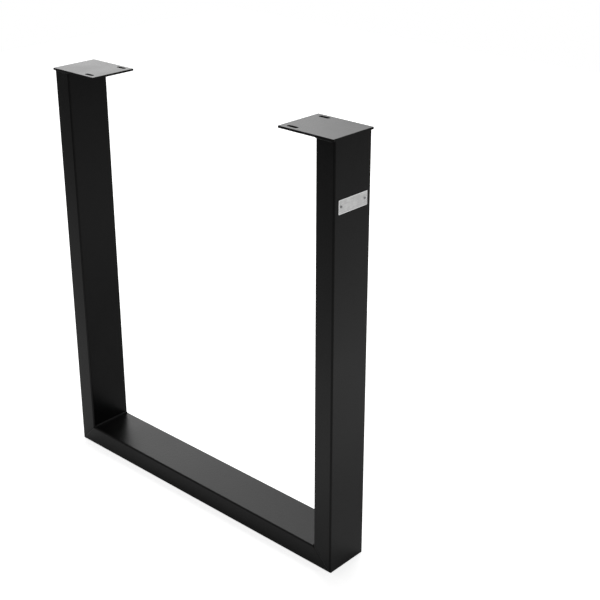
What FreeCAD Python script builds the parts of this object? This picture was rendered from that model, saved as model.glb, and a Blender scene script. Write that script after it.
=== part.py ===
import FreeCAD, Part
import math
import os

import Sketcher

# U shaped table leg: two posts and a floor rail of rectangular steel tube, mitred and welded at
# the floor, with a slotted screw plate welded on each post and a small bare tag on the right post.
# Origin on the floor under the middle of the leg. X runs across the leg, Y through the tube's
# deep side and Z up. The right post is the one at +X, and the front is at -Y.

# Driving sizes: name, value in millimetres, what it is.
SIZES = [
    ("leg_height", 710, "floor to the top of the screw plates"),
    ("leg_width", 618, "across the outer faces of the two posts"),
    ("tube_depth", 80, "deep side of the tube, front to back"),
    ("tube_face", 35, "narrow side of the tube, seen from the front"),
    ("tube_wall", 1.5, "wall of the tube"),
    ("tube_inner_radius", 1.5, "inside radius of the tube's rounded edges"),
    ("mitre_gap", 1, "gap between the mitred ends, filled by the weld"),
    ("corner_bead_leg", 3, "leg of the bead in the inner corner"),
    ("corner_bead_crown", 0.4, "rise of that bead above a flat face"),
    ("plate_length", 104, "screw plate, across the leg"),
    ("plate_thickness", 3.5, "screw plate's thickness"),
    ("plate_end_overhang", 0.5, "plate past the post's outer face"),
    ("plate_side_overhang", 3, "plate past the front and back of the post"),
    ("plate_edge_radius", 0.5, "dulled upper edges and corners of the plate"),
    ("plate_bead_leg", 2, "leg of the bead under the plate"),
    ("slot_length", 20, "screw slot, end to end"),
    ("slot_width", 7, "screw slot, side to side"),
    ("slot_to_plate_end", 20, "slot's centre to the plate's inner end"),
    ("slot_spacing", 67, "between the two slots of a plate, front to back"),
    ("tag_length", 62, "tag, front to back"),
    ("tag_height", 21.5, "tag, up and down"),
    ("tag_thickness", 0.8, "tag's sheet"),
    ("tag_corner_radius", 0.6, "tag's corners"),
    ("tag_drop", 101, "leg's top to the tag's centre"),
    ("rivet_spacing", 51, "between the two tag rivets"),
    ("rivet_diameter", 2.4, "rivet's shank"),
    ("rivet_clearance", 0.05, "between the shank and its holes, all round"),
    ("rivet_head_diameter", 4, "rivet's domed head"),
    ("rivet_head_height", 0.8, "rise of the domed head"),
    ("rivet_tail_diameter", 3.6, "spread tail inside the post"),
    ("rivet_tail_height", 1.6, "rise of the spread tail"),
]

# Sizes worked out from the driving ones, as expressions on the sheet.
FACE, DEPTH = "sizes.tube_face", "sizes.tube_depth"
INNER_RADIUS = "sizes.tube_inner_radius"
OUTER_RADIUS = "(sizes.tube_inner_radius + sizes.tube_wall)"
FLAT_OF_FACE = f"(sizes.tube_face - 2 * {OUTER_RADIUS})"
FLAT_OF_DEPTH = f"(sizes.tube_depth - 2 * {OUTER_RADIUS})"
POST_OFFSET = "(sizes.leg_width - sizes.tube_face) / 2"
POST_TOP = "sizes.leg_height - sizes.plate_thickness"
MITRE_SETBACK = "sizes.mitre_gap / sqrt(2)"
MITRE_WASTE = f"(4 * {FACE})"
PLATE_OUTER_REACH = "(sizes.tube_face / 2 + sizes.plate_end_overhang)"
PLATE_INNER_REACH = f"(sizes.plate_length - {PLATE_OUTER_REACH})"
PLATE_HALF_DEPTH = "(sizes.tube_depth / 2 + sizes.plate_side_overhang)"
TAG_HEIGHT_UP = "sizes.leg_height - sizes.tag_drop"
RIVET_HOLE = "sizes.rivet_diameter + 2 * sizes.rivet_clearance"
RIVET_GRIP = "sizes.tag_thickness + sizes.tube_wall"

# Signs that put a piece on its side of the leg. What stands on the right is turned half round.
LEFT, RIGHT = "-", ""
FRONT, REAR = "-", ""

START, END, CENTRE = range(1, 4)
X_AXIS, Y_AXIS = range(-1, -3, -1)
ORIGIN = (X_AXIS, START)
HALF_RIGHT_ANGLE = math.pi / 4

doc = FreeCAD.newDocument("u_table_leg")
sheet = doc.addObject("Spreadsheet::Sheet", "sizes")
for row, (name, millimetres, meaning) in enumerate(SIZES, 1):
    sheet.set(f"A{row}", name)
    sheet.set(f"B{row}", str(millimetres))
    sheet.set(f"C{row}", meaning)
    sheet.setAlias(f"B{row}", name)
doc.recompute()


def value(expression):
    """What an expression on the sheet comes to now."""
    return float(sheet.evalExpression(expression))


def new_body(label):
    body = doc.addObject("PartDesign::Body", label)
    body.Label = label
    return body


def place(body, x, y, z, turned=False):
    """Puts a body at three expressions, turned half round about Z or not."""
    if turned:
        half_round = FreeCAD.Rotation(FreeCAD.Vector(0, 0, 1), 180)
        body.Placement = FreeCAD.Placement(FreeCAD.Vector(), half_round)
    for axis, expression in (("x", x), ("y", y), ("z", z)):
        body.setExpression(f".Placement.Base.{axis}", expression)


def origin_plane(body, role):
    return next(plane for plane in body.Origin.OriginFeatures if plane.Role == role)


def new_sketch(body, role, name):
    sketch = body.newObject("Sketcher::SketchObject", f"{body.Label}_{name}")
    sketch.AttachmentSupport = (origin_plane(body, role), [""])
    sketch.MapMode = "FlatFace"
    return sketch


def constrain(sketch, *terms):
    return sketch.addConstraint(Sketcher.Constraint(*terms))


def measure(sketch, name, expression, *terms):
    """A named dimension that follows the sheet."""
    index = constrain(sketch, *terms, value(expression))
    sketch.renameConstraint(index, name)
    sketch.setExpression(f"Constraints.{name}", expression)


def locate(sketch, name, point, x, y):
    """Fixes a point, given as geometry and position, at two expressions from the sketch origin."""
    measure(sketch, f"{name}_x", x, "DistanceX", *ORIGIN, *point)
    measure(sketch, f"{name}_y", y, "DistanceY", *ORIGIN, *point)


def add_chain(sketch, points, arcs=None, closed=True, joint="Coincident"):
    """
    Draws edges from point to point, counter-clockwise, and joins their ends. An edge is straight
    unless arcs gives the point in its middle that it passes through.
    """
    arcs = arcs or {}
    targets = points[1:] + points[:1] if closed else points[1:]
    edges = []
    for number, (start, end) in enumerate(zip(points, targets)):
        first, last = FreeCAD.Vector(*start), FreeCAD.Vector(*end)
        if number in arcs:
            edge = Part.Arc(first, FreeCAD.Vector(*arcs[number]), last)
        else:
            edge = Part.LineSegment(first, last)
        edges.append(sketch.addGeometry(edge, False))
    following = edges[1:] + edges[:1] if closed else edges[1:]
    for edge, after in zip(edges, following):
        constrain(sketch, joint, edge, END, after, START)
    return edges


def add_rounded_rectangle(sketch, name, width, height, radius):
    """A rectangle with rounded corners, centred on the sketch origin, sized by expressions."""
    x, y, r = value(f"({width}) / 2"), value(f"({height}) / 2"), value(radius)
    flat_x, flat_y = x - r, y - r
    points = [
        (-flat_x, -y), (flat_x, -y), (x, -flat_y), (x, flat_y),
        (flat_x, y), (-flat_x, y), (-x, flat_y), (-x, -flat_y),
    ]
    bulge = r * math.sin(HALF_RIGHT_ANGLE)
    corner_x, corner_y = flat_x + bulge, flat_y + bulge
    arcs = {
        1: (corner_x, -corner_y),
        3: (corner_x, corner_y),
        5: (-corner_x, corner_y),
        7: (-corner_x, -corner_y),
    }
    edges = add_chain(sketch, points, arcs, joint="Tangent")
    sides, corners = edges[::2], edges[1::2]
    for side, direction in zip(sides, ["Horizontal", "Vertical"] * 2):
        constrain(sketch, direction, side)
    for corner in corners[1:]:
        constrain(sketch, "Equal", corners[0], corner)
    constrain(sketch, "Symmetric", corners[0], CENTRE, corners[2], CENTRE, *ORIGIN)
    bottom, right, top, left = sides
    measure(sketch, f"{name}_width", width, "DistanceX", left, START, right, START)
    measure(sketch, f"{name}_height", height, "DistanceY", bottom, START, top, START)
    measure(sketch, f"{name}_radius", radius, "Radius", corners[0])


def add_slot(sketch, centre_x, centre_y, length, width):
    """A slot along X with round ends, placed and sized by expressions."""
    x, y, r = value(centre_x), value(centre_y), value(f"{width} / 2")
    straight = f"({length} - {width})"
    reach = value(f"{straight} / 2")
    points = [(x - reach, y - r), (x + reach, y - r), (x + reach, y + r), (x - reach, y + r)]
    arcs = {1: (x + reach + r, y), 3: (x - reach - r, y)}
    lower, right, upper, left = add_chain(sketch, points, arcs, joint="Tangent")
    constrain(sketch, "Horizontal", lower)
    constrain(sketch, "Equal", left, right)
    measure(sketch, "end_radius", f"{width} / 2", "Radius", left)
    measure(sketch, "straight", straight, "DistanceX", left, CENTRE, right, CENTRE)
    locate(sketch, "outer_end", (left, CENTRE), f"{centre_x} - {straight} / 2", centre_y)


def add_hole(sketch, name, x, y, diameter):
    circle = Part.Circle()
    circle.Center = FreeCAD.Vector(value(x), value(y))
    circle.Radius = value(diameter) / 2
    hole = sketch.addGeometry(circle, False)
    locate(sketch, name, (hole, CENTRE), x, y)
    measure(sketch, f"{name}_diameter", diameter, "Diameter", hole)


def add_mitre_wedge(sketch, name, start_x, start_y, above):
    """
    The waste of a mitre: a right-angled triangle whose long side rises at 45 degrees from the
    start until it is well past the tube, with the square corner above that side or below it.
    """
    x, y, r = value(start_x), value(start_y), value(MITRE_WASTE)
    start, corner, end = (x, y), (x, y + r) if above else (x + r, y), (x + r, y + r)
    if above:
        slope, back, leg = add_chain(sketch, [start, end, corner])
        leg_ends = (leg, END, leg, START)
        directions = {back: "Horizontal", leg: "Vertical"}
    else:
        leg, back, slope = add_chain(sketch, [start, corner, end])
        leg_ends = (leg, START, leg, END)
        directions = {back: "Vertical", leg: "Horizontal"}
    for edge, direction in directions.items():
        constrain(sketch, direction, edge)
    constrain(sketch, "Equal", leg, back)
    locate(sketch, f"{name}_start", leg_ends[:2], start_x, start_y)
    measure(sketch, f"{name}_run", MITRE_WASTE, "DistanceY" if above else "DistanceX", *leg_ends)


def add_tube_section(body, role, width, height):
    """The tube's hollow section with rounded edges."""
    sketch = new_sketch(body, role, "section")
    add_rounded_rectangle(sketch, "outer", width, height, OUTER_RADIUS)
    bore_width, bore_height = f"{width} - 2 * sizes.tube_wall", f"{height} - 2 * sizes.tube_wall"
    add_rounded_rectangle(sketch, "inner", bore_width, bore_height, INNER_RADIUS)
    return sketch


def pad(body, sketch, length, centred=False):
    feature = body.newObject("PartDesign::Pad", f"{sketch.Name}_pad")
    feature.Profile = sketch
    feature.SideType = "Symmetric" if centred else "One side"
    feature.setExpression("Length", length)
    return feature


def cut_both_ways(body, sketch):
    """Cuts a sketch through all that lies before and behind it."""
    feature = body.newObject("PartDesign::Pocket", f"{sketch.Name}_cut")
    feature.Profile = sketch
    feature.Type = "ThroughAll"
    feature.SideType = "Symmetric"
    return feature


def cut_behind(body, sketch):
    """Cuts a sketch through all that lies behind it."""
    feature = body.newObject("PartDesign::Pocket", f"{sketch.Name}_cut")
    feature.Profile = sketch
    feature.Type = "ThroughAll"
    return feature


def mirror(body, feature, role):
    doc.recompute()
    copy = body.newObject("PartDesign::Mirrored", f"{feature.Name}_mirrored")
    copy.Originals = [feature]
    copy.MirrorPlane = (origin_plane(body, role), [""])
    body.Tip = copy


def post(label, side):
    """
    One upright. Its own origin is on the floor under the middle of the tube, and +X points into
    the leg, so the outer face is the long side and the inner face the short side of the mitre.
    """
    body = new_body(label)
    pad(body, add_tube_section(body, "XY_Plane", FACE, DEPTH), POST_TOP)
    mitre = new_sketch(body, "XZ_Plane", "mitre")
    start = f"-{MITRE_WASTE} / 2"
    add_mitre_wedge(mitre, "waste", start, f"{start} + {FACE} / 2 + {MITRE_SETBACK}", above=False)
    cut_both_ways(body, mitre)
    if side == RIGHT:
        holes = new_sketch(body, "YZ_Plane", "rivet_holes")
        for name, end in (("front", FRONT), ("rear", REAR)):
            add_hole(holes, name, f"{end}sizes.rivet_spacing / 2", TAG_HEIGHT_UP, RIVET_HOLE)
        cut_behind(body, holes)
    place(body, f"{side}{POST_OFFSET}", "0", "0", turned=side == RIGHT)
    return body


def floor_rail():
    """The tube on the floor. Its own origin is in the middle of the tube, halfway along."""
    body = new_body("floor_rail")
    section = add_tube_section(body, "YZ_Plane", DEPTH, FACE)
    pad(body, section, "sizes.leg_width", centred=True)
    mitre = new_sketch(body, "XZ_Plane", "mitre")
    start, foot = f"-{MITRE_WASTE} / 2", f"{MITRE_SETBACK} - {POST_OFFSET}"
    add_mitre_wedge(mitre, "waste", f"{start} + {foot}", start, above=True)
    mirror(body, cut_both_ways(body, mitre), "YZ_Plane")
    place(body, "0", "0", f"{FACE} / 2")
    return body


def corner_weld(label, side):
    """
    The weld of one mitre: a ring of weld metal as thick as the gap, ground flush with the tubes,
    and a bead in the inner corner. Its own origin is where the tubes' middle lines cross.
    """
    body = new_body(label)
    section = add_tube_section(body, "XY_Plane", FACE, DEPTH)
    section.setExpression(".AttachmentOffset.Base.z", FACE)
    bend = new_sketch(body, "XZ_Plane", "bend")
    add_square_bend(bend, FACE)
    doc.recompute()
    ring = body.newObject("PartDesign::AdditivePipe", f"{label}_ring")
    ring.Profile = section
    ring.Spine = (bend, ["Edge1", "Edge2"])
    ring.Transition = "Right corner"
    beside = new_sketch(body, "XZ_Plane", "beside_ring")
    start = f"-{MITRE_WASTE} / 2"
    add_mitre_wedge(beside, "above", start, f"{start} + {MITRE_SETBACK}", above=True)
    add_mitre_wedge(beside, "below", start, f"{start} - {MITRE_SETBACK}", above=False)
    cut_both_ways(body, beside)
    bead = new_sketch(body, "XZ_Plane", "bead")
    add_corner_bead_section(bead)
    pad(body, bead, FLAT_OF_DEPTH, centred=True)
    place(body, f"{side}{POST_OFFSET}", "0", f"{FACE} / 2", turned=side == RIGHT)
    return body


def add_square_bend(sketch, reach):
    """Two lines: down to the sketch origin and away along X, each as long as the reach."""
    r = value(reach)
    down, along = add_chain(sketch, [(0, r), (0, 0), (r, 0)], closed=False)
    constrain(sketch, "Coincident", down, END, *ORIGIN)
    constrain(sketch, "PointOnObject", down, START, Y_AXIS)
    constrain(sketch, "PointOnObject", along, END, X_AXIS)
    constrain(sketch, "Equal", down, along)
    measure(sketch, "reach", reach, "DistanceX", *ORIGIN, along, END)


def add_corner_bead_section(sketch):
    """Two legs along the rail and the post, closed by a crowned face."""
    root, leg = value(f"{FACE} / 2"), value("sizes.corner_bead_leg")
    crown = value("sizes.corner_bead_crown")
    middle = root + leg / 2 + crown * math.sin(HALF_RIGHT_ANGLE)
    points = [(root, root), (root + leg, root), (root, root + leg)]
    along, face, down = add_chain(sketch, points, arcs={1: (middle, middle)})
    constrain(sketch, "Horizontal", along)
    constrain(sketch, "Vertical", down)
    constrain(sketch, "Equal", along, down)
    locate(sketch, "root", (along, START), f"{FACE} / 2", f"{FACE} / 2")
    measure(sketch, "leg", "sizes.corner_bead_leg", "DistanceX", along, START, along, END)
    half_chord_squared = "sizes.corner_bead_leg ^ 2 / 2"
    radius = f"({half_chord_squared} / sizes.corner_bead_crown + sizes.corner_bead_crown) / 2"
    measure(sketch, "face_radius", radius, "Radius", face)


def top_plate(label, side):
    """
    The screw plate. Its own origin is on the post's top end, over the middle of the tube, with +X
    into the leg, where the two screw slots are.
    """
    body = new_body(label)
    outline = new_sketch(body, "XY_Plane", "outline")
    outer, inner, half = value(PLATE_OUTER_REACH), value(PLATE_INNER_REACH), value(PLATE_HALF_DEPTH)
    points = [(-outer, -half), (inner, -half), (inner, half), (-outer, half)]
    sides = add_chain(outline, points)
    for edge, direction in zip(sides, ["Horizontal", "Vertical"] * 2):
        constrain(outline, direction, edge)
    locate(outline, "outer_corner", (sides[0], START), f"-{PLATE_OUTER_REACH}", f"-{PLATE_HALF_DEPTH}")
    locate(outline, "inner_corner", (sides[2], START), PLATE_INNER_REACH, PLATE_HALF_DEPTH)
    blank = pad(body, outline, "sizes.plate_thickness")
    doc.recompute()
    dulled = body.newObject("PartDesign::Fillet", f"{label}_edges")
    dulled.Base = (blank, edges_off_the_underside(blank.Shape))
    dulled.setExpression("Radius", "sizes.plate_edge_radius")
    slots = new_sketch(body, "XY_Plane", "slots")
    centre = f"{PLATE_INNER_REACH} - sizes.slot_to_plate_end"
    add_slot(slots, centre, "-sizes.slot_spacing / 2", "sizes.slot_length", "sizes.slot_width")
    mirror(body, cut_both_ways(body, slots), "XZ_Plane")
    place(body, f"{side}{POST_OFFSET}", "0", POST_TOP, turned=side == RIGHT)
    return body


def edges_off_the_underside(shape):
    """Names of the upper edges and the upright corner edges."""
    heights = [edge.CenterOfMass.z for edge in shape.Edges]
    lowest = min(heights)
    return [f"Edge{number}" for number, height in enumerate(heights, 1) if height > lowest]


def plate_weld(label, side):
    """
    The bead under the screw plate, along the front, inner and back faces of the post. Its own
    origin is at the plate's underside, where the bead starts.
    """
    body = new_body(label)
    section = new_sketch(body, "YZ_Plane", "section")
    leg = value("sizes.plate_bead_leg")
    under_plate, slope, down_post = add_chain(section, [(0, 0), (-leg, 0), (0, -leg)])
    constrain(section, "Coincident", under_plate, START, *ORIGIN)
    constrain(section, "Horizontal", under_plate)
    constrain(section, "Vertical", down_post)
    constrain(section, "Equal", under_plate, down_post)
    measure(section, "leg", "sizes.plate_bead_leg", "DistanceX", slope, START, *ORIGIN)
    path = new_sketch(body, "XY_Plane", "path")
    sides_and_edges = add_path_round_post(path)
    doc.recompute()
    bead = body.newObject("PartDesign::AdditivePipe", f"{label}_bead")
    bead.Profile = section
    bead.Spine = (path, [f"Edge{number}" for number, edge in enumerate(sides_and_edges, 1)])
    start_x = f"(sizes.leg_width / 2 - {OUTER_RADIUS})"
    place(body, f"{side}{start_x}", f"{side}{DEPTH} / 2", POST_TOP, turned=side == RIGHT)
    return body


def add_path_round_post(sketch):
    """One deep face of the tube with its two rounded edges, and the flats of the faces beside it."""
    flat, depth, r = value(FLAT_OF_FACE), value(DEPTH), value(OUTER_RADIUS)
    bulge = r * math.sin(HALF_RIGHT_ANGLE)
    far_x = flat + r
    points = [(0, 0), (flat, 0), (far_x, r), (far_x, depth - r), (flat, depth), (0, depth)]
    arcs = {1: (flat + bulge, r - bulge), 3: (flat + bulge, depth - r + bulge)}
    edges = add_chain(sketch, points, arcs, closed=False, joint="Tangent")
    near, near_corner, deep, far_corner, far = edges
    constrain(sketch, "Coincident", near, START, *ORIGIN)
    constrain(sketch, "Horizontal", near)
    constrain(sketch, "Vertical", deep)
    constrain(sketch, "Equal", near_corner, far_corner)
    constrain(sketch, "PointOnObject", far, END, Y_AXIS)
    measure(sketch, "edge_radius", OUTER_RADIUS, "Radius", near_corner)
    measure(sketch, "flat", FLAT_OF_FACE, "DistanceX", near, START, near, END)
    measure(sketch, "depth", DEPTH, "DistanceY", near, END, far, START)
    return edges


def tag_plate():
    """The bare tag. Its own origin is on the post's outer face, at the middle of the tag."""
    body = new_body("tag_plate")
    outline = new_sketch(body, "YZ_Plane", "outline")
    length, height, corner = "sizes.tag_length", "sizes.tag_height", "sizes.tag_corner_radius"
    add_rounded_rectangle(outline, "tag", length, height, corner)
    for name, end in (("front", FRONT), ("rear", REAR)):
        add_hole(outline, name, f"{end}sizes.rivet_spacing / 2", "0", RIVET_HOLE)
    pad(body, outline, "sizes.tag_thickness")
    place(body, "sizes.leg_width / 2", "0", TAG_HEIGHT_UP)
    return body


def tag_rivet(label, end):
    """
    A blind rivet, turned about its own axis. Its own origin is on the tag's outer face, with the
    domed head at +X and the spread tail against the inside of the post's wall.
    """
    body = new_body(label)
    profile = new_sketch(body, "XZ_Plane", "profile")
    axis = add_rivet_profile(profile)
    doc.recompute()
    rivet = body.newObject("PartDesign::Revolution", f"{label}_turned")
    rivet.Profile = profile
    rivet.ReferenceAxis = (profile, ["H_Axis"])
    rivet.Angle = 360
    outer_face = "sizes.leg_width / 2 + sizes.tag_thickness"
    place(body, outer_face, f"{end}sizes.rivet_spacing / 2", TAG_HEIGHT_UP)
    return body


def dome_height(rise, radius):
    """How high a round dome stands halfway between its axis and its edge."""
    sphere = (radius ** 2 + rise ** 2) / (2 * rise)
    return rise - sphere + math.sqrt(sphere ** 2 - (radius / 2) ** 2)


def add_rivet_profile(sketch):
    """Half of the rivet's outline, closed along the X axis, which is the rivet's own axis."""
    head, tail = value("sizes.rivet_head_diameter / 2"), value("sizes.rivet_tail_diameter / 2")
    head_rise, tail_rise = value("sizes.rivet_head_height"), value("sizes.rivet_tail_height")
    shank, grip = value("sizes.rivet_diameter / 2"), value(RIVET_GRIP)
    tail_pole, head_pole = (-grip - tail_rise, 0), (head_rise, 0)
    points = [tail_pole, head_pole, (0, head), (0, shank), (-grip, shank), (-grip, tail)]
    head_side, tail_side = dome_height(head_rise, head), -grip - dome_height(tail_rise, tail)
    arcs = {1: (head_side, head / 2), 5: (tail_side, tail / 2)}
    axis, head_dome, head_seat, barrel, tail_seat, tail_dome = add_chain(sketch, points, arcs)
    for point in (START, END):
        constrain(sketch, "PointOnObject", axis, point, X_AXIS)
    for dome in (head_dome, tail_dome):
        constrain(sketch, "PointOnObject", dome, CENTRE, X_AXIS)
    for seat in (head_seat, tail_seat):
        constrain(sketch, "Vertical", seat)
    constrain(sketch, "Horizontal", barrel)
    constrain(sketch, "PointOnObject", head_seat, START, Y_AXIS)
    measure(sketch, "head", "sizes.rivet_head_diameter / 2", "DistanceY", *ORIGIN, head_seat, START)
    measure(sketch, "shank", "sizes.rivet_diameter / 2", "DistanceY", *ORIGIN, barrel, START)
    measure(sketch, "tail", "sizes.rivet_tail_diameter / 2", "DistanceY", *ORIGIN, tail_seat, END)
    measure(sketch, "grip", RIVET_GRIP, "DistanceX", barrel, END, barrel, START)
    measure(sketch, "head_rise", "sizes.rivet_head_height", "DistanceX", *ORIGIN, axis, END)
    measure(sketch, "tail_rise", "sizes.rivet_tail_height", "DistanceX", axis, START, tail_seat, END)


def check_features():
    """Every object must have recomputed, and every cut must have taken material away."""
    for item in doc.Objects:
        if "Invalid" in item.State or "Error" in item.State:
            raise RuntimeError(f"{item.Label} failed: {item.State}")
        if item.TypeId == "PartDesign::Pocket" and item.Shape.Volume >= item.BaseFeature.Shape.Volume:
            raise RuntimeError(f"{item.Label} cuts nothing")


def export(piece):
    shape = piece.Shape
    if shape.isNull() or not shape.isValid() or len(shape.Solids) != 1:
        raise RuntimeError(f"{piece.Label} is not one valid solid")
    shape.exportStep(f"parts/{piece.Label}.step")
    print(f"{piece.Label}: {shape.Volume:.1f} mm3")


pieces = [floor_rail(), tag_plate()]
for name, side in (("left", LEFT), ("right", RIGHT)):
    pieces.append(post(f"{name}_post", side))
    pieces.append(corner_weld(f"{name}_corner_weld", side))
    pieces.append(top_plate(f"{name}_top_plate", side))
    pieces.append(plate_weld(f"{name}_plate_weld", side))
for name, end in (("front", FRONT), ("rear", REAR)):
    pieces.append(tag_rivet(f"{name}_tag_rivet", end))
doc.recompute()
check_features()
os.makedirs("parts", exist_ok=True)
for piece in pieces:
    export(piece)
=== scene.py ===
import math

import bpy
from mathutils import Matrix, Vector


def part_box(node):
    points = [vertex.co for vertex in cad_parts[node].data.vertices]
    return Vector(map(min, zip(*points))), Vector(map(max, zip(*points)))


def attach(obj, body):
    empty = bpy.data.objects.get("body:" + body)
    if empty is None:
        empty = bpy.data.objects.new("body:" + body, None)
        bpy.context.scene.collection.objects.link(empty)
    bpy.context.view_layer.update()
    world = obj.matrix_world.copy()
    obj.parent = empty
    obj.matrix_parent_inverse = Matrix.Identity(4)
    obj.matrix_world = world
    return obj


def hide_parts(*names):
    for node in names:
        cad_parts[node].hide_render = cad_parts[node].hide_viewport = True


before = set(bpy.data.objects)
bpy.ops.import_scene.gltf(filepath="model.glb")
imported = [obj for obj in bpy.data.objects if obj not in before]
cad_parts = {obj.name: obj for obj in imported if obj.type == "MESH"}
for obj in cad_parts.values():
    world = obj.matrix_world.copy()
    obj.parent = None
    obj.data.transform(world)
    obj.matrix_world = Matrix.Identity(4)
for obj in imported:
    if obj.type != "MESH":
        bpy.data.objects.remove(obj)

# The looks of a U shaped table leg in satin black powder coat, with a small bare metal tag.
# Everything is in metres, in the leg's own frame: X across the leg, Y front to back, Z up.

MM = 0.001
QUARTER_TURN = math.pi / 2
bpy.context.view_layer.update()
POST_LOW, POST_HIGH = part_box("right_post")
PLATE_LOW, PLATE_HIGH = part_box("right_top_plate")
TAG_LOW, TAG_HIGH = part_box("tag_plate")
RAIL_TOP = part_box("floor_rail")[1].z

# The sign of X at each post.
SIDES = {"left": -1, "right": 1}
POST_OUTER, POST_INNER = POST_HIGH.x, POST_LOW.x
TUBE_HALF_DEPTH = POST_HIGH.y
TUBE_EDGE_RADIUS = 3 * MM

# The camera, fitted to the leg's corners in the photograph. Its angles are in radians, its lens
# and sensor in millimetres.
CAMERA_PLACE = (1.33667, -1.23370, 1.17929)
CAMERA_DOWN, CAMERA_ROUND = 0.39245, 0.74066
CAMERA_LENS = 72.643
SENSOR_WIDTH = 36
CAMERA_SHIFT_Y = -0.06

# Colours as linear light.
COAT_BLACK = (0.0018, 0.0018, 0.0018, 1)
COAT_GREYER = (0.0032, 0.0032, 0.0032, 1)
TAG_BRIGHT = (0.88, 0.88, 0.875, 1)
TAG_DULL = (0.72, 0.72, 0.715, 1)
# The rim is lighter than the tag's field: a painted highlight along the raised rim.
RIM_PAINTED_HIGHLIGHT = (0.98, 0.98, 0.98, 1)
RIVET_BRIGHT = (0.57, 0.57, 0.58, 1)
RIVET_DULL = (0.38, 0.38, 0.39, 1)
# The mandrel's steel in the rivet's pit is painted near-black, as painted shade of the pit.
MANDREL_PAINTED_SHADE = (0.035, 0.034, 0.033, 1)
MANDREL_PAINTED_SHADE_LIGHTER = (0.09, 0.088, 0.085, 1)
PAPER_WHITE = (0.62, 0.62, 0.62, 1)
PURE_WHITE = (1, 1, 1, 1)


def main():
    deselect_all()
    texture = powder_texture()
    coat, bead_coat = powder_coat(texture), coat_on_weld_bead(texture)
    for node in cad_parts.values():
        finish_with(node, coat)
    for name, side in SIDES.items():
        corner_bead(f"{name}_corner_bead", side, bead_coat)
        plate_bead(f"{name}_plate_bead", side, bead_coat, f"{name}_plate_weld")
    grain = metal_grain()
    bare_tag("tag_with_raised_rim", brushed_tag_metal(grain), polished_rim_with_painted_highlight(grain))
    rivet_metal, mandrel_steel = drawn_rivet_metal(grain), mandrel_with_painted_pit_shade(grain)
    for end in ("front", "rear"):
        blind_rivet(f"{end}_blind_rivet", f"{end}_tag_rivet", rivet_metal, mandrel_steel)
    lay_paper_floor()
    hang_soft_panel()
    light_the_studio()
    set_camera()


# Working on a piece

MERGE_DISTANCE = 0.001 * MM
SQUARE_ON = 0.9


def deselect_all():
    bpy.ops.object.select_all(action="DESELECT")


def finish_with(piece, *materials):
    piece.data.materials.clear()
    for material in materials:
        piece.data.materials.append(material)


def start_piece(name):
    """Puts the new primitive's place into its mesh and opens it for editing."""
    piece = bpy.context.object
    piece.name = piece.data.name = name
    bpy.ops.object.transform_apply(location=True, rotation=True, scale=True)
    bpy.ops.object.mode_set(mode="EDIT")
    return piece


def select_nothing_of(piece):
    """Leaves edit mode, with no vertex, edge or face of the piece selected."""
    bpy.ops.object.mode_set(mode="OBJECT")
    for parts in (piece.data.vertices, piece.data.edges, piece.data.polygons):
        for part in parts:
            part.select = False


def select_faces(piece, wanted):
    """In edit mode: selects the faces for which wanted(centre, normal) is true, and no others."""
    select_nothing_of(piece)
    for face in piece.data.polygons:
        face.select = wanted(face.center, face.normal)
    bpy.ops.object.mode_set(mode="EDIT")
    bpy.ops.mesh.select_mode(type="FACE")


def select_edges(piece, wanted):
    """In edit mode: selects the edges for which wanted(end, other end) is true, and no others."""
    select_nothing_of(piece)
    for edge in piece.data.edges:
        first, second = (piece.data.vertices[number].co for number in edge.vertices)
        edge.select = wanted(first, second)
    bpy.ops.object.mode_set(mode="EDIT")
    bpy.ops.mesh.select_mode(type="EDGE")


def select_end(piece, outwards):
    """Selects the end faces that look squarely outwards, to +X at the right post, or inwards."""
    sign = 1 if outwards else -1
    select_faces(piece, lambda centre, normal: sign * normal.x > SQUARE_ON)


def inset_and_move(width, rise):
    """Insets the selected faces and moves what is left outwards by the rise."""
    bpy.ops.mesh.inset(thickness=width)
    bpy.ops.transform.translate(value=(rise, 0, 0))


def extrude_inwards(length):
    bpy.ops.mesh.extrude_region_move(TRANSFORM_OT_translate={"value": (-length, 0, 0)})


def cut_away(plane_point, waste_side):
    """Cuts off what lies on the waste side of a plane and closes the cut."""
    bpy.ops.mesh.select_all(action="SELECT")
    bpy.ops.mesh.bisect(
        plane_co=plane_point,
        plane_no=waste_side,
        use_fill=True,
        clear_outer=True,
        threshold=MERGE_DISTANCE,
    )


def close_piece(piece, smooth_angle):
    """Merges doubles, turns the faces outwards, leaves edit mode and smooths the soft edges."""
    bpy.ops.mesh.select_all(action="SELECT")
    bpy.ops.mesh.remove_doubles(threshold=MERGE_DISTANCE)
    bpy.ops.mesh.normals_make_consistent(inside=False)
    bpy.ops.object.mode_set(mode="OBJECT")
    bpy.ops.object.shade_smooth_by_angle(angle=math.radians(smooth_angle))
    deselect_all()


# Weld beads

BEAD_SIDES = 20
STEPS_PER_RIPPLE = 4
RIPPLE_PITCH = 1.9 * MM

# Thicknesses are shares of a bead's radius, one for each step. The ripple shape holds three uneven
# ripples. Each slow wave is the most that it adds, and its turn in radians at each step.
RIPPLE_SHAPE = (0.94, 1.03, 1.01, 0.98, 0.95, 1.04, 1.02, 1.0, 0.98, 0.93, 1.02, 1.01, 0.99)
SLOW_WAVES = ((0.02, 0.23), (0.015, 0.071))
BEAD_END_SHAPE = (0.3, 0.68, 0.88, 0.97)

CORNER_BEAD_RADIUS = 3.4 * MM
CORNER_BEAD_STOP = 1.8 * MM
PLATE_BEAD_RADIUS = 2.1 * MM
BEAD_SINK = 0.3 * MM
BEAD_SMOOTH_ANGLE = 68


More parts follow.
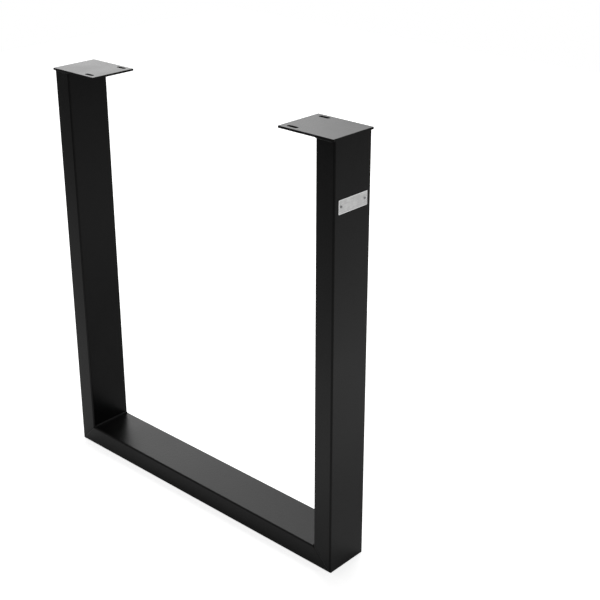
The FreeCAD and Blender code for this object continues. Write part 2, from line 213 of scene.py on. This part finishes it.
def lay_bead(name, start, heading, runs, radius):
    """
    A weld bead as a rippled rod. From its start it goes straight for each run's length, and then
    turns left by the run's angle over the run's turning radius.
    """
    bpy.ops.mesh.primitive_circle_add(
        vertices=BEAD_SIDES,
        radius=radius * BEAD_END_SHAPE[0],
        fill_type="NGON",
        location=start,
        rotation=heading.to_track_quat("Z", "Y").to_euler(),
    )
    piece = start_piece(name)
    bpy.ops.mesh.select_all(action="SELECT")
    moves = bead_moves(heading, runs)
    centre, size = Vector(start), BEAD_END_SHAPE[0]
    for (step, turn), next_size in zip(moves, bead_sizes(len(moves))):
        centre += step
        growth = next_size / size
        bpy.ops.mesh.extrude_region_move(TRANSFORM_OT_translate={"value": step})
        bpy.ops.transform.resize(value=(growth, growth, growth), center_override=centre)
        if turn:
            # With no window, rotate turns the other way.
            bpy.ops.transform.rotate(value=-turn, orient_axis="Z", center_override=centre)
        size = next_size
    return piece


def bead_moves(heading, runs):
    """The steps of a bead's path, each with the angle that the ring turns by after it."""
    moves = []
    step_length = RIPPLE_PITCH / STEPS_PER_RIPPLE
    for length, turn_radius, turn in runs:
        count = round(length / step_length)
        moves += [(heading * (length / count), 0)] * count
        if turn:
            count = round(turn_radius * turn / step_length)
            part = turn / count
            chord = 2 * turn_radius * math.sin(part / 2)
            for _ in range(count):
                heading = turned_about_z(heading, part / 2)
                moves.append((heading * chord, part))
                heading = turned_about_z(heading, part / 2)
    return moves


def bead_sizes(count):
    """The rod's thickness after each step: round ends, and uneven ripples between them."""
    sizes = []
    for number in range(count):
        slow_wave = sum(rise * math.sin(turn * number) for rise, turn in SLOW_WAVES)
        sizes.append(RIPPLE_SHAPE[number % len(RIPPLE_SHAPE)] + slow_wave)
    for number, share in enumerate(BEAD_END_SHAPE[1:]):
        sizes[number] = share
        sizes[-2 - number] = share
    sizes[-1] = BEAD_END_SHAPE[0]
    return sizes


def turned_about_z(vector, angle):
    sine, cosine = math.sin(angle), math.cos(angle)
    x = vector.x * cosine - vector.y * sine
    y = vector.x * sine + vector.y * cosine
    return Vector((x, y, vector.z))


def corner_bead(name, side, material):
    """The bead along the inner corner, which stops on the rounded edges of the tubes."""
    reach = TUBE_HALF_DEPTH - CORNER_BEAD_STOP
    start = Vector((side * POST_INNER, reach, RAIL_TOP))
    piece = lay_bead(name, start, Vector((0, -1, 0)), [(2 * reach, 0, 0)], CORNER_BEAD_RADIUS)
    in_post = Vector((side * (POST_INNER + BEAD_SINK), 0, 0))
    in_rail = Vector((0, 0, RAIL_TOP - BEAD_SINK))
    cut_away(in_post, Vector((side, 0, 0)))
    cut_away(in_rail, Vector((0, 0, -1)))
    close_piece(piece, BEAD_SMOOTH_ANGLE)
    finish_with(piece, material)
    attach(piece, "root")


def plate_bead(name, side, material, node):
    """The bead under the screw plate, round the front, inner and back faces of the post."""
    edge = TUBE_EDGE_RADIUS
    under_plate = POST_HIGH.z
    front_flat = POST_OUTER - POST_INNER - 2 * edge
    inner_flat = 2 * (TUBE_HALF_DEPTH - edge)
    runs = [(front_flat, edge, QUARTER_TURN), (inner_flat, edge, QUARTER_TURN), (front_flat, 0, 0)]
    start = Vector((side * (POST_OUTER - edge), side * TUBE_HALF_DEPTH, under_plate))
    piece = lay_bead(name, start, Vector((-side, 0, 0)), runs, PLATE_BEAD_RADIUS)
    cut_away(Vector((0, 0, under_plate)), Vector((0, 0, 1)))
    close_piece(piece, BEAD_SMOOTH_ANGLE)
    finish_with(piece, material)
    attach(piece, "root")
    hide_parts(node)


# Tag

TAG_SIZE, TAG_MIDDLE = TAG_HIGH - TAG_LOW, (TAG_HIGH + TAG_LOW) / 2
TAG_CORNER, TAG_CORNER_STEPS = 0.6 * MM, 6
RIM_WIDTH = 1.1 * MM
RIM_RISE = 0.22 * MM
RIM_SLOPE = 0.12 * MM
RIM_ROUNDING, RIM_ROUNDING_STEPS = RIM_SLOPE / 2, 3
TAG_SMOOTH_ANGLE = 35


def bare_tag(name, field_metal, rim_metal):
    """A thin bare plate with small round corners and a raised rim all round its face."""
    bpy.ops.mesh.primitive_cube_add(size=1, location=TAG_MIDDLE, scale=TAG_SIZE)
    piece = start_piece(name)
    select_end(piece, outwards=True)
    bpy.ops.mesh.inset(thickness=RIM_WIDTH)
    inset_and_move(RIM_SLOPE, -RIM_RISE)
    select_edges(piece, lambda first, second: abs(first.x - second.x) > TAG_SIZE.x / 2)
    bpy.ops.mesh.bevel(offset=TAG_CORNER, segments=TAG_CORNER_STEPS)
    select_edges(piece, is_top_edge_of_rim)
    bpy.ops.mesh.bevel(offset=RIM_ROUNDING, segments=RIM_ROUNDING_STEPS)
    close_piece(piece, TAG_SMOOTH_ANGLE)
    finish_with(piece, field_metal, rim_metal)
    # Faces near the outline take the rim's metal, lighter by a painted highlight.
    for face in piece.data.polygons:
        face.material_index = int(is_near_outline(face.center, RIM_WIDTH))
    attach(piece, "root")
    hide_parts("tag_plate")


def is_near_outline(point, margin):
    """Whether a point lies within the margin of the tag's outline."""
    aside = abs(point.y - TAG_MIDDLE.y) > TAG_SIZE.y / 2 - margin
    above = abs(point.z - TAG_MIDDLE.z) > TAG_SIZE.z / 2 - margin
    return aside or above


def is_top_edge_of_rim(*ends):
    """Whether an edge of the tag is one of the two that run round the top of its rim."""
    on_top = all(end.x > TAG_HIGH.x - RIM_RISE / 2 for end in ends)
    outer = all(is_near_outline(end, TAG_CORNER / 2) for end in ends)
    inner = not any(is_near_outline(end, RIM_WIDTH - RIM_SLOPE) for end in ends)
    return on_top and (outer or inner)


# Rivets. A dome or a stub is a row of insets, each with its width and its rise.

RIVET_SIDES = 32
RIVET_HEAD_RADIUS = 2 * MM
RIVET_FLANGE = 0.3 * MM
RIVET_DOME = [(0.28 * MM, 0.26 * MM), (0.42 * MM, 0.16 * MM), (0.35 * MM, 0.05 * MM)]
MANDREL_PIT_RADIUS = 0.8 * MM
MANDREL_PIT_DEPTH = 0.55 * MM
MANDREL_STUB = [(0.14 * MM, 0.22 * MM), (0.14 * MM, 0.22 * MM)]
INSIDE_THE_PIT = 0.98 * MANDREL_PIT_RADIUS
SHANK_RADIUS, SHANK_LENGTH = 1.2 * MM, 2.3 * MM
TAIL_RADIUS, TAIL_TIP_RADIUS = 1.8 * MM, 1.1 * MM
TAIL_SPREAD, TAIL_LENGTH = 0.35 * MM, 0.6 * MM
RIVET_SMOOTH_ANGLE = 40


def blind_rivet(name, node, metal, mandrel_steel):
    """A blind rivet: a low domed head with the mandrel's pit, a shank, and a spread tail."""
    low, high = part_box(node)
    seat = (low + high) / 2
    seat.x = TAG_HIGH.x
    bpy.ops.mesh.primitive_cylinder_add(
        vertices=RIVET_SIDES,
        radius=RIVET_HEAD_RADIUS,
        depth=RIVET_FLANGE,
        location=(seat.x + RIVET_FLANGE / 2, seat.y, seat.z),
        rotation=(0, QUARTER_TURN, 0),
    )
    piece = start_piece(name)
    select_end(piece, outwards=True)
    raise_dome_and_pit()
    select_end(piece, outwards=False)
    draw_shank_and_tail(seat, low.x)
    close_piece(piece, RIVET_SMOOTH_ANGLE)
    finish_with(piece, metal, mandrel_steel)
    # The stub and the floor of the pit take the mandrel's near-black colour, a painted shade.
    for face in piece.data.polygons:
        aside = math.hypot(face.center.y - seat.y, face.center.z - seat.z)
        face.material_index = int(face.center.x > seat.x and aside < INSIDE_THE_PIT)
    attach(piece, "root")
    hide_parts(node)


def raise_dome_and_pit():
    """On the selected end: the dome, the pit in its middle, and the mandrel's stub in the pit."""
    radius = RIVET_HEAD_RADIUS
    for width, rise in RIVET_DOME:
        inset_and_move(width, rise)
        radius -= width
    inset_and_move(radius - MANDREL_PIT_RADIUS, 0)
    extrude_inwards(MANDREL_PIT_DEPTH)
    for width, rise in MANDREL_STUB:
        inset_and_move(width, rise)


def draw_shank_and_tail(seat, tail_end):
    """On the selected end: the shank, and the tail that spreads and then tapers to its end."""
    inset_and_move(RIVET_HEAD_RADIUS - SHANK_RADIUS, 0)
    extrude_inwards(SHANK_LENGTH)
    extrude_inwards(TAIL_SPREAD)
    spread = TAIL_RADIUS / SHANK_RADIUS
    bpy.ops.transform.resize(value=(1, spread, spread), center_override=seat)
    extrude_inwards(TAIL_LENGTH)
    taper = seat.x - SHANK_LENGTH - TAIL_SPREAD - TAIL_LENGTH - tail_end
    inset_and_move(TAIL_RADIUS - TAIL_TIP_RADIUS, -taper)


# Materials

# The inputs and the output of a Mix node that blends colours: share, first, second, and result.
MIX_SHARE, MIX_FIRST, MIX_SECOND, MIX_RESULT = 0, 6, 7, 2


class Shader:
    """A node tree under construction."""

    def __init__(self, tree):
        self.tree = tree

    def node(self, kind, **values):
        node = self.tree.nodes.new(kind)
        for name, value in values.items():
            setattr(node, name, value)
        return node

    def link(self, source, target):
        self.tree.links.new(source, target)

    def feed(self, value, target):
        """Links a socket, or sets a plain value."""
        if isinstance(value, bpy.types.NodeSocket):
            self.link(value, target)
        else:
            target.default_value = value

    def maths(self, operation, first, second=0.0):
        node = self.node("ShaderNodeMath", operation=operation)
        self.feed(first, node.inputs[0])
        self.feed(second, node.inputs[1])
        return node.outputs[0]

    def vector_maths(self, operation, first, second=(0, 0, 0)):
        """The node's outputs: Vector, or Value where the result is a number."""
        node = self.node("ShaderNodeVectorMath", operation=operation)
        self.feed(first, node.inputs[0])
        self.feed(second, node.inputs[1])
        return node.outputs

    def axes(self, vector):
        """The outputs X, Y and Z."""
        node = self.node("ShaderNodeSeparateXYZ")
        self.link(vector, node.inputs[0])
        return node.outputs

    def ramp(self, value, start, end, low, high, smooth=True):
        """Turns start to end into low to high, and holds there."""
        node = self.node("ShaderNodeMapRange")
        node.interpolation_type = "SMOOTHSTEP" if smooth else "LINEAR"
        for target, source in zip(node.inputs, (value, start, end, low, high)):
            self.feed(source, target)
        return node.outputs["Result"]

    def blend_values(self, share, first, second):
        return self.ramp(share, 0.0, 1.0, first, second, smooth=False)

    def blend_colours(self, share, first, second):
        node = self.node("ShaderNodeMix", data_type="RGBA")
        self.feed(share, node.inputs[MIX_SHARE])
        self.feed(first, node.inputs[MIX_FIRST])
        self.feed(second, node.inputs[MIX_SECOND])
        return node.outputs[MIX_RESULT]

    def blend_surfaces(self, share, first, second):
        node = self.node("ShaderNodeMixShader")
        for target, source in zip(node.inputs, (share, first, second)):
            self.link(source, target)
        return node.outputs[0]

    def noise(self, place, scale, detail, roughness=0.5):
        node = self.node("ShaderNodeTexNoise")
        self.link(place, node.inputs["Vector"])
        node.inputs["Scale"].default_value = scale
        node.inputs["Detail"].default_value = detail
        node.inputs["Roughness"].default_value = roughness
        return node.outputs["Fac"]

    def stretched(self, place, scale):
        node = self.node("ShaderNodeMapping")
        self.link(place, node.inputs["Vector"])
        node.inputs["Scale"].default_value = scale
        return node.outputs[0]

    def bump(self, height, distance):
        node = self.node("ShaderNodeBump")
        self.link(height, node.inputs["Height"])
        node.inputs["Distance"].default_value = distance
        return node.outputs["Normal"]

    def object_place(self):
        return self.node("ShaderNodeTexCoord").outputs["Object"]

    def effect(self, tree, **inputs):
        """Places a shared effect and returns its outputs by name."""
        node = self.node("ShaderNodeGroup", node_tree=tree)
        for name, value in inputs.items():
            self.feed(value, node.inputs[name.capitalize()])
        return node.outputs


def new_material(name):
    """An empty material, its shader and its output node."""
    material = bpy.data.materials.new(name)
    material.use_nodes = True
    material.node_tree.nodes.clear()
    shader = Shader(material.node_tree)
    return material, shader, shader.node("ShaderNodeOutputMaterial")


def new_finish(name):
    """A material with one surface for a piece of the leg."""
    material, shader, output = new_material(name)
    surface = shader.node("ShaderNodeBsdfPrincipled")
    shader.link(surface.outputs["BSDF"], output.inputs["Surface"])
    return material, shader, surface


def new_effect(name, inputs, outputs):
    """An empty shader group with a vector input Place, named number inputs and number outputs."""
    tree = bpy.data.node_groups.new(name, "ShaderNodeTree")
    tree.interface.new_socket("Place", in_out="INPUT", socket_type="NodeSocketVector")
    for label, default in inputs.items():
        socket = tree.interface.new_socket(label, in_out="INPUT", socket_type="NodeSocketFloat")
        socket.default_value = default
    for label in outputs:
        tree.interface.new_socket(label, in_out="OUTPUT", socket_type="NodeSocketFloat")
    shader = Shader(tree)
    given = shader.node("NodeGroupInput").outputs
    result = shader.node("NodeGroupOutput").inputs
    return tree, shader, given, result


# Powder coat. A relief is the height that a bump of 1 stands for.

GRAIN_SCALE, GRAIN_SHARE = 1500, 0.4
PEEL_SCALE = 330
PATCH_SCALE = 14
PATCHES_FROM, PATCHES_TO = 0.35, 0.65
COAT_RELIEF = 0.09 * MM
COAT_SPECULAR = 0.15
COAT_ROUGHNESS = (0.285, 0.325)
BEAD_COAT_ROUGHNESS = (0.46, 0.54)
BEAD_COAT_GRAIN = 1.4


def powder_texture():
    """
    The skin of baked powder: a fine grain, the slow waves of orange peel, and cloudy patches a
    hand wide where the coat is a little thicker.
    """
    tree, shader, given, result = new_effect(
        "powder_texture", {"Grain": 1.0}, ["Height", "Patches"]
    )
    grain = shader.noise(given["Place"], GRAIN_SCALE, detail=1.0)
    peel = shader.noise(given["Place"], PEEL_SCALE, detail=1.0)
    patches = shader.noise(given["Place"], PATCH_SCALE, detail=3.0, roughness=0.55)
    fine = shader.maths("MULTIPLY", grain, shader.maths("MULTIPLY", given["Grain"], GRAIN_SHARE))
    shader.link(shader.maths("ADD", fine, peel), result["Height"])
    shader.link(shader.ramp(patches, PATCHES_FROM, PATCHES_TO, 0.0, 1.0), result["Patches"])
    return tree


# The marks of the mitres. Their widths are measured along the tubes, from the weld's middle.
HAIRLINE_WIDTH, HAIRLINE_DEPTH = 2.1 * MM, 5.0
GROUND_FULL_TO, GROUND_GONE_AT = 3 * MM, 11 * MM
GROUND_DULLING = 0.05
SCRATCH_SCALE, SCRATCH_DEPTH = 1900, 0.3
SCRATCH_STRETCH = (1, 0.12, 0.12)


def mitre_marks():
    """
    Where the mitred tubes meet: a hairline along the weld, and round it a band that was ground
    flush. Both lie on the plane through the outer and the inner corner.
    """
    tree, shader, given, result = new_effect(
        "mitre_marks", {"Corner": POST_OUTER}, ["Hairline", "Ground", "Scratches"]
    )
    axes = shader.axes(given["Place"])
    sum_of_both = shader.maths("ADD", shader.maths("ABSOLUTE", axes["X"]), axes["Z"])
    off_plane = shader.maths("ABSOLUTE", shader.maths("SUBTRACT", sum_of_both, given["Corner"]))
    hairline = shader.ramp(off_plane, 0.0, HAIRLINE_WIDTH, 1.0, 0.0)
    ground = shader.ramp(off_plane, GROUND_FULL_TO, GROUND_GONE_AT, 1.0, 0.0)
    lines = shader.stretched(given["Place"], SCRATCH_STRETCH)
    scratches = shader.noise(lines, SCRATCH_SCALE, detail=1.0)
    shader.link(hairline, result["Hairline"])
    shader.link(ground, result["Ground"])
    shader.link(scratches, result["Scratches"])
    return tree


# The screw slots, the same on all four sides of the leg's middle: their middles and half sizes
# along X, Y and Z. Along Z the span ends a little inside the two faces of the plate.
SLOT_SPANS = {
    "X": (PLATE_LOW.x + 20 * MM, 10 * MM),
    "Y": (33.5 * MM, 3.5 * MM),
    "Z": ((PLATE_LOW.z + PLATE_HIGH.z) / 2, 1.3 * MM),
}
SLOT_MARGIN = 0.2 * MM
SLOT_ROUGHNESS = 0.95


def slot_walls():
    """The walls of the four screw slots, where the coat is thin and dull."""
    tree, shader, given, result = new_effect("slot_walls", {}, ["Inside"])
    axes = shader.axes(given["Place"])
    inside = 1.0
    for axis, (middle, half_size) in SLOT_SPANS.items():
        off_middle = shader.maths("SUBTRACT", shader.maths("ABSOLUTE", axes[axis]), middle)
        off_middle = shader.maths("ABSOLUTE", off_middle)
        edge = half_size + SLOT_MARGIN
        within = shader.ramp(off_middle, edge, edge + SLOT_MARGIN, 1.0, 0.0)
        inside = shader.maths("MULTIPLY", inside, within)
    shader.link(inside, result["Inside"])
    return tree


def powder_coat(texture):
    """Satin black powder coat on the tubes and plates."""
    material, shader, surface = new_finish("satin_black_powder_coat")
    place = shader.object_place()
    powder = shader.effect(texture, place=place)
    mitre = shader.effect(mitre_marks(), place=place)
    slots = shader.effect(slot_walls(), place=place)
    tone = shader.maths("MAXIMUM", powder["Patches"], mitre["Hairline"])
    colour = shader.blend_colours(tone, COAT_BLACK, COAT_GREYER)
    shine = shader.blend_values(powder["Patches"], *COAT_ROUGHNESS)
    dulled = shader.maths("MULTIPLY", mitre["Ground"], GROUND_DULLING)
    outside = shader.maths("ADD", shine, dulled)
    roughness = shader.blend_values(slots["Inside"], outside, SLOT_ROUGHNESS)
    seam = shader.maths("MULTIPLY", mitre["Hairline"], HAIRLINE_DEPTH)
    scratches = shader.maths("MULTIPLY", mitre["Scratches"], SCRATCH_DEPTH)
    scratched = shader.maths("MULTIPLY", mitre["Ground"], scratches)
    height = shader.maths("ADD", powder["Height"], shader.maths("SUBTRACT", scratched, seam))
    shader.link(colour, surface.inputs["Base Color"])
    shader.link(roughness, surface.inputs["Roughness"])
    shader.link(shader.bump(height, COAT_RELIEF), surface.inputs["Normal"])
    surface.inputs["Specular IOR Level"].default_value = COAT_SPECULAR
    return material


def coat_on_weld_bead(texture):
    """The same coat where it lies coarser and duller over a weld bead."""
    material, shader, surface = new_finish("powder_coat_on_weld_bead")
    powder = shader.effect(texture, place=shader.object_place(), grain=BEAD_COAT_GRAIN)
    colour = shader.blend_colours(powder["Patches"], COAT_BLACK, COAT_GREYER)
    roughness = shader.blend_values(powder["Patches"], *BEAD_COAT_ROUGHNESS)
    shader.link(colour, surface.inputs["Base Color"])
    shader.link(roughness, surface.inputs["Roughness"])
    shader.link(shader.bump(powder["Height"], COAT_RELIEF), surface.inputs["Normal"])
    surface.inputs["Specular IOR Level"].default_value = COAT_SPECULAR
    return material


# Bare metals. The smaller the stretch, the longer the grain is along Y.

BRUSHED, NOT_BRUSHED = 0.05, 1.0
METAL_GRAIN_SCALE = 1400
CLOUD_SCALE, CLOUD_SHARE = 120, 0.7
TONE_FROM, TONE_TO = 0.65, 1.05
METAL_RELIEF = 0.01 * MM
TAG_ROUGHNESS = (0.42, 0.55)
RIM_ROUGHNESS = (0.16, 0.22)
RIVET_ROUGHNESS = (0.32, 0.45)
MANDREL_ROUGHNESS = (0.4, 0.6)


def metal_grain():
    """
    The grain of bare metal, which runs along Y where Stretch is below 1, with dull clouds. Tone
    is the two together.
    """
    tree, shader, given, result = new_effect(
        "metal_grain", {"Stretch": 1.0}, ["Grain", "Clouds", "Tone"]
    )
    axes = shader.axes(given["Place"])
    place = shader.node("ShaderNodeCombineXYZ")
    shader.link(axes["X"], place.inputs["X"])
    shader.link(shader.maths("MULTIPLY", axes["Y"], given["Stretch"]), place.inputs["Y"])
    shader.link(axes["Z"], place.inputs["Z"])
    grain = shader.noise(place.outputs[0], METAL_GRAIN_SCALE, detail=3.0, roughness=0.6)
    clouds = shader.noise(given["Place"], CLOUD_SCALE, detail=3.0)
    both = shader.maths("ADD", grain, shader.maths("MULTIPLY", clouds, CLOUD_SHARE))
    shader.link(grain, result["Grain"])
    shader.link(clouds, result["Clouds"])
    shader.link(shader.ramp(both, TONE_FROM, TONE_TO, 0.0, 1.0), result["Tone"])
    return tree


def bare_metal(name, grain, stretch, dull, bright, roughness):
    """Bare metal, dull and bright by turns along its grain, and rougher in its clouds."""
    material, shader, surface = new_finish(name)
    marks = shader.effect(grain, place=shader.object_place(), stretch=stretch)
    shader.link(shader.blend_colours(marks["Tone"], dull, bright), surface.inputs["Base Color"])
    shader.link(shader.blend_values(marks["Clouds"], *roughness), surface.inputs["Roughness"])
    shader.link(shader.bump(marks["Grain"], METAL_RELIEF), surface.inputs["Normal"])
    surface.inputs["Metallic"].default_value = 1
    return material


def brushed_tag_metal(grain):
    return bare_metal("brushed_tag_metal", grain, BRUSHED, TAG_DULL, TAG_BRIGHT, TAG_ROUGHNESS)


# A polished rim, less rough than the field, whose lighter colour is a painted highlight.
def polished_rim_with_painted_highlight(grain):
    return bare_metal("polished_rim_with_painted_highlight", grain, BRUSHED, TAG_BRIGHT, RIM_PAINTED_HIGHLIGHT, RIM_ROUGHNESS)


def drawn_rivet_metal(grain):
    name = "drawn_rivet_metal"
    return bare_metal(name, grain, NOT_BRUSHED, RIVET_DULL, RIVET_BRIGHT, RIVET_ROUGHNESS)


# Mandrel steel painted near-black, as painted shade in the rivet's pit.
def mandrel_with_painted_pit_shade(grain):
    name = "mandrel_with_painted_pit_shade"
    return bare_metal(name, grain, NOT_BRUSHED, MANDREL_PAINTED_SHADE, MANDREL_PAINTED_SHADE_LIGHTER, MANDREL_ROUGHNESS)


# The paper floor. A glow of 1 is white, and each glow fades outwards from a place on the floor.

FLOOR_FRONT, FLOOR_BACK, FLOOR_SIDE = -1.6, 3.2, 3.2
WHITE_GLOW, GLOW_BY_THE_LEG = 1.0, 0.78
LEG_MIDDLE = (0, 0, 0)
FADES_FROM, PLAIN_WHITE_FROM = 0.5, 1.8

# The glow that gloss mirrors.
GLOW_IN_REFLECTIONS = 0.4
MIRROR_CENTRE, MIRRORED_AS_FAR_AS = (0.55, 0.2, 0), 3.4
BRIGHT_PATCHES = ((-0.02, -0.38, 0), (0.67, 0.43, 0))
PATCH_CORE, PATCH_EDGE, PATCH_GLOW = 0.15, 0.4, 0.9
DIMMER_PLACE = (0, 0.45, 0)
DIMMED_ROUND, UNDIMMED_FROM = 0.3, 0.8


def lay_paper_floor():
    """White paper under the leg, which reaches further behind it than in front."""
    bpy.ops.mesh.primitive_plane_add(size=1, location=(0, (FLOOR_FRONT + FLOOR_BACK) / 2, 0))
    floor = bpy.context.object
    floor.name = "paper_floor"
    floor.scale = (2 * FLOOR_SIDE, FLOOR_BACK - FLOOR_FRONT, 1)
    bpy.ops.object.transform_apply(location=True, rotation=True, scale=True)
    finish_with(floor, floor_paper())


def floor_paper():
    """
    Paper that takes light and shadow, with a glow of its own. From below it is clear, so that the
    underside of the leg can be seen.
    """
    material, shader, output = new_material("white_floor_paper")
    paper = shader.node("ShaderNodeBsdfDiffuse")
    paper.inputs["Color"].default_value = PAPER_WHITE
    glow = shader.node("ShaderNodeEmission")
    glow.inputs["Color"].default_value = PURE_WHITE
    shader.link(paper_glow(shader), glow.inputs["Strength"])
    both = shader.node("ShaderNodeAddShader")
    shader.link(paper.outputs[0], both.inputs[0])
    shader.link(glow.outputs[0], both.inputs[1])
    from_below = shader.node("ShaderNodeNewGeometry").outputs["Backfacing"]
    clear = shader.node("ShaderNodeBsdfTransparent")
    one_way = shader.blend_surfaces(from_below, both.outputs[0], clear.outputs[0])
    shader.link(one_way, output.inputs["Surface"])
    return material


def paper_glow(shader):
    """
    The strength of the paper's glow. The camera sees it white, and weaker near the leg, so that
    the shadow stays. Gloss mirrors a glow that fades outwards, has two brighter patches, and is
    dim behind the rail.
    """
    near_leg = fades_outwards(shader, LEG_MIDDLE, FADES_FROM, PLAIN_WHITE_FROM)
    seen = shader.blend_values(near_leg, WHITE_GLOW, GLOW_BY_THE_LEG)
    lit = fades_outwards(shader, MIRROR_CENTRE, FADES_FROM, MIRRORED_AS_FAR_AS)
    for patch in BRIGHT_PATCHES:
        bright = fades_outwards(shader, patch, PATCH_CORE, PATCH_EDGE, PATCH_GLOW)
        lit = shader.maths("ADD", lit, bright)
    dimmed = fades_outwards(shader, DIMMER_PLACE, DIMMED_ROUND, UNDIMMED_FROM)
    undimmed = shader.maths("SUBTRACT", 1.0, dimmed)
    reflected = shader.maths("MULTIPLY", undimmed, GLOW_IN_REFLECTIONS)
    mirrored = shader.maths("MULTIPLY", lit, reflected)
    ray = shader.node("ShaderNodeLightPath").outputs
    bounced = shader.maths("MAXIMUM", ray["Is Glossy Ray"], ray["Is Transmission Ray"])
    for_camera = shader.maths("MULTIPLY", ray["Is Camera Ray"], seen)
    for_mirrors = shader.maths("MULTIPLY", bounced, mirrored)
    return shader.maths("ADD", for_camera, for_mirrors)


def fades_outwards(shader, centre, start, end, strength=1.0):
    """A strength that holds from a centre out to the start, and fades to nothing at the end."""
    distance = shader.vector_maths("DISTANCE", shader.object_place(), centre)["Value"]
    return shader.ramp(distance, start, end, strength, 0.0)


# Light and camera

PANEL_PLACE, PANEL_AIM = (-0.45, 0.95, 1.8), (0, 0, 0)
PANEL_WIDTH, PANEL_DEPTH = 1.3, 1.0
PANEL_WATTS = 23


def hang_soft_panel():
    """A soft panel above and behind the leg, which lights its tops."""
    bpy.ops.object.light_add(type="AREA", location=PANEL_PLACE)
    panel = bpy.context.object
    panel.name = "overhead_panel"
    panel.data.shape = "RECTANGLE"
    panel.data.size = PANEL_WIDTH
    panel.data.size_y = PANEL_DEPTH
    panel.data.energy = PANEL_WATTS
    panel.visible_camera = False
    aim = Vector(PANEL_AIM) - panel.location
    panel.rotation_euler = aim.to_track_quat("-Z", "Y").to_euler()


# The studio's walls. The bright one fades between two angles from its middle, given by their
# cosines. Heights are given by the sines of their angles above the floor.
WALL_DIRECTION = (-0.94, 0.34, 0)
WALL_FADE = (0.76, 0.99)
WALL_TOP_FADE = (0.5, 0.8)
WALL_FOOT_FADE = (-0.3, 0.5)
BRIGHT_WALL_LIGHT, OTHER_WALL_LIGHT, ROOM_LIGHT = 3.65, 0.3, 0.17


def light_the_studio():
    """The world, which is plain white to the camera and a dim room to the leg."""
    world = bpy.data.worlds.new("studio")
    bpy.context.scene.world = world
    world.use_nodes = True
    world.node_tree.nodes.clear()
    shader = Shader(world.node_tree)
    output = shader.node("ShaderNodeOutputWorld")
    seen = shader.node("ShaderNodeBackground")
    room = shader.node("ShaderNodeBackground")
    for light in (seen, room):
        light.inputs["Color"].default_value = PURE_WHITE
    shader.link(room_light(shader), room.inputs["Strength"])
    by_camera = shader.node("ShaderNodeLightPath").outputs["Is Camera Ray"]
    world_light = shader.blend_surfaces(by_camera, room.outputs[0], seen.outputs[0])
    shader.link(world_light, output.inputs["Surface"])


def room_light(shader):
    """
    The strength of the room's light. Its walls are brightest 30 degrees up, and the broad one
    behind the leg on the left far more than the others.
    """
    direction = shader.node("ShaderNodeTexCoord").outputs["Generated"]
    level = shader.vector_maths("MULTIPLY", direction, (1, 1, 0))["Vector"]
    bearing = shader.vector_maths("NORMALIZE", level)["Vector"]
    towards_wall = shader.vector_maths("DOT_PRODUCT", bearing, WALL_DIRECTION)["Value"]
    height = shader.axes(direction)["Z"]
    wall = shader.ramp(towards_wall, *WALL_FADE, OTHER_WALL_LIGHT, BRIGHT_WALL_LIGHT)
    above = shader.ramp(height, *WALL_TOP_FADE, 1.0, 0.0)
    below = shader.ramp(height, *WALL_FOOT_FADE, 0.0, 1.0)
    walls = shader.maths("MULTIPLY", wall, shader.maths("MULTIPLY", above, below))
    return shader.maths("ADD", walls, ROOM_LIGHT)


def set_camera():
    tilt = (QUARTER_TURN - CAMERA_DOWN, 0, CAMERA_ROUND)
    bpy.ops.object.camera_add(location=CAMERA_PLACE, rotation=tilt)
    camera = bpy.context.object
    camera.data.sensor_width = SENSOR_WIDTH
    camera.data.lens = CAMERA_LENS
    camera.data.shift_y = CAMERA_SHIFT_Y
    bpy.context.scene.camera = camera
    bpy.context.scene.view_settings.view_transform = "Standard"


main()
